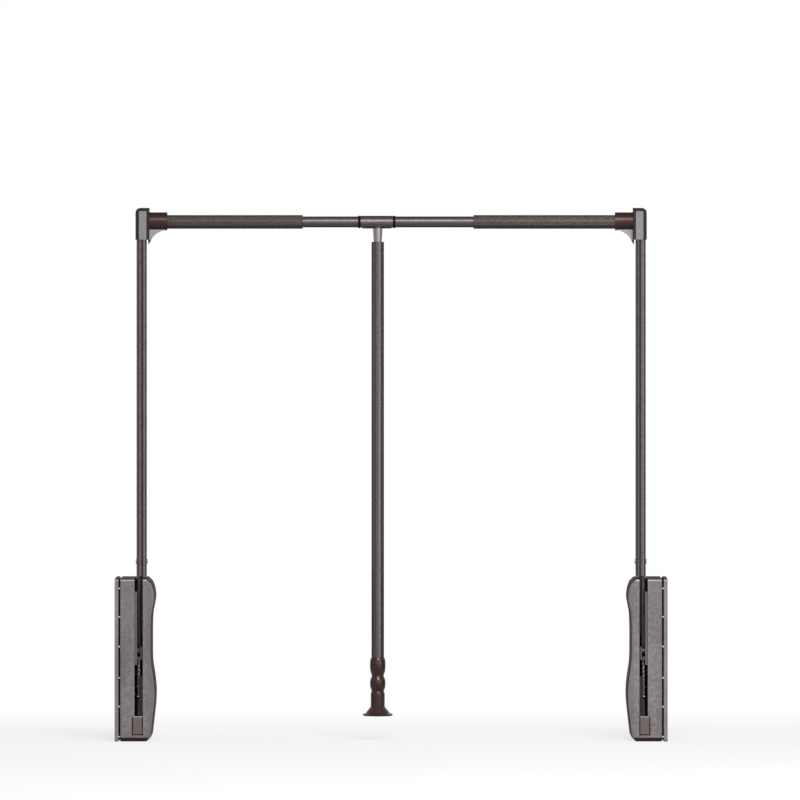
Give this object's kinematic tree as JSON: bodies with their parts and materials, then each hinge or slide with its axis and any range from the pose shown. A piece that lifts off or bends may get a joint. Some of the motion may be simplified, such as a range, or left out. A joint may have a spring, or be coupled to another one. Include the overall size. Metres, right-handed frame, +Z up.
{
  "type": "pull down closet rod",
  "caption": "Wardrobe lift: a telescopic hanging rod on two sprung arms that swing forward and down out of side-mounted housings, with a pull handle.",
  "frame": {"origin": "on the left wall plate's outer face, on the axis that both arms turn about", "axes": "+X from the left wall plate to the right one, -Y out of the wardrobe towards the user, +Z up"},
  "size_m": [0.885, 0.11, 0.854],
  "materials": {
    "cover_plastic": "satin moulded plastic, warm grey",
    "plate_metal": "satin grey paint",
    "mocha_metal": "polished dark mocha lacquer on steel tube",
    "flat_strip": "light satin grey",
    "dark_steel": "dark phosphated steel",
    "bright_steel": "zinc plated",
    "spring_steel": "oiled spring wire",
    "block_plastic": "brownish grey plastic",
    "black_plastic": "fine matt black",
    "black_rubber": "matt rubber",
    "grip_plastic": "glossy dark brown"
  },
  "bodies": {
    "left_housing": {"left_wall_plate": "plate_metal", "left_housing_cover": "cover_plastic", "left_chassis": "dark_steel", "left_chassis_screw_lower": "bright_steel", "left_chassis_screw_upper": "bright_steel", "left_outer_bush": "black_plastic", "left_inner_bush": "black_plastic", "left_guide_tube": "dark_steel", "left_spring_seat": "bright_steel", "left_balance_spring": "spring_steel", "left_foot_block": "block_plastic", "left_upper_buffer": "black_rubber", "left_lower_buffer": "black_rubber", "left_damper": "black_plastic"},
    "left_arm": {"left_pivot_shaft": "bright_steel", "left_lever": "dark_steel", "left_crank_pin": "bright_steel", "left_arm_tube": "mocha_metal", "left_arm_insert": "black_plastic", "left_arm_rivet": "bright_steel", "left_corner_bracket": "mocha_metal", "left_bracket_cover": "flat_strip", "left_outer_tube": "mocha_metal"},
    "left_carriage": {"left_carriage": "black_plastic", "left_guide_rod": "bright_steel"},
    "right_housing": {"right_wall_plate": "plate_metal", "right_housing_cover": "cover_plastic", "right_chassis": "dark_steel", "right_chassis_screw_lower": "bright_steel", "right_chassis_screw_upper": "bright_steel", "right_outer_bush": "black_plastic", "right_inner_bush": "black_plastic", "right_guide_tube": "dark_steel", "right_spring_seat": "bright_steel", "right_balance_spring": "spring_steel", "right_foot_block": "block_plastic", "right_upper_buffer": "black_rubber", "right_lower_buffer": "black_rubber", "right_damper": "black_plastic"},
    "right_arm": {"right_pivot_shaft": "bright_steel", "right_lever": "dark_steel", "right_crank_pin": "bright_steel", "right_arm_tube": "mocha_metal", "right_arm_insert": "black_plastic", "right_arm_rivet": "bright_steel", "right_corner_bracket": "mocha_metal", "right_bracket_cover": "flat_strip", "right_outer_tube": "mocha_metal"},
    "right_carriage": {"right_carriage": "black_plastic", "right_guide_rod": "bright_steel"},
    "centre_tube": {"inner_tube": "mocha_metal", "left_collar": "black_plastic", "right_collar": "black_plastic"},
    "pull_handle": {"handle_connector": "mocha_metal", "handle_pin": "bright_steel", "pull_rod": "mocha_metal", "grip": "grip_plastic", "grip_flange": "grip_plastic", "grip_screw": "bright_steel"}
  },
  "joints": [
    {"name": "left_arm_hinge", "type": "hinge", "parent": "left_housing", "child": "left_arm", "pos_m": [0.0385, 0, 0], "axis": [1, 0, 0], "range_deg": [0, 100], "stiffness_Nm_per_rad": 6, "springref_deg": -28.65},
    {"name": "width_slide", "type": "slide", "parent": "left_housing", "child": "right_housing", "axis": [1, 0, 0], "range_m": [-0.055, 0.265]},
    {"name": "right_arm_hinge", "type": "hinge", "parent": "right_housing", "child": "right_arm", "pos_m": [0.8465, 0, 0], "axis": [1, 0, 0], "range_deg": [0, 100], "stiffness_Nm_per_rad": 6, "springref_deg": -28.65},
    {"name": "centre_tube_slide", "type": "slide", "parent": "left_arm", "child": "centre_tube", "axis": [1, 0, 0], "range_m": [-0.0275, 0.1325]},
    {"name": "handle_swing", "type": "hinge", "parent": "centre_tube", "child": "pull_handle", "pos_m": [0.421, 0, 0.7065], "axis": [1, 0, 0], "range_deg": [-135, 45]},
    {"name": "left_carriage_slide", "type": "slide", "parent": "left_housing", "child": "left_carriage", "axis": [0, 0, 1], "range_m": [-0.0384, 0], "deforming": ["left_balance_spring"]},
    {"name": "right_carriage_slide", "type": "slide", "parent": "right_housing", "child": "right_carriage", "axis": [0, 0, 1], "range_m": [-0.0384, 0], "deforming": ["right_balance_spring"]}
  ],
  "couplings": [
    {"joint": "right_arm_hinge", "follows": "left_arm_hinge", "ratio": 1},
    {"joint": "left_carriage_slide", "follows": "left_arm_hinge", "m_per_rad": -0.021945},
    {"joint": "right_carriage_slide", "follows": "left_arm_hinge", "m_per_rad": -0.021945},
    {"joint": "centre_tube_slide", "follows": "width_slide", "ratio": 0.5}
  ]
}
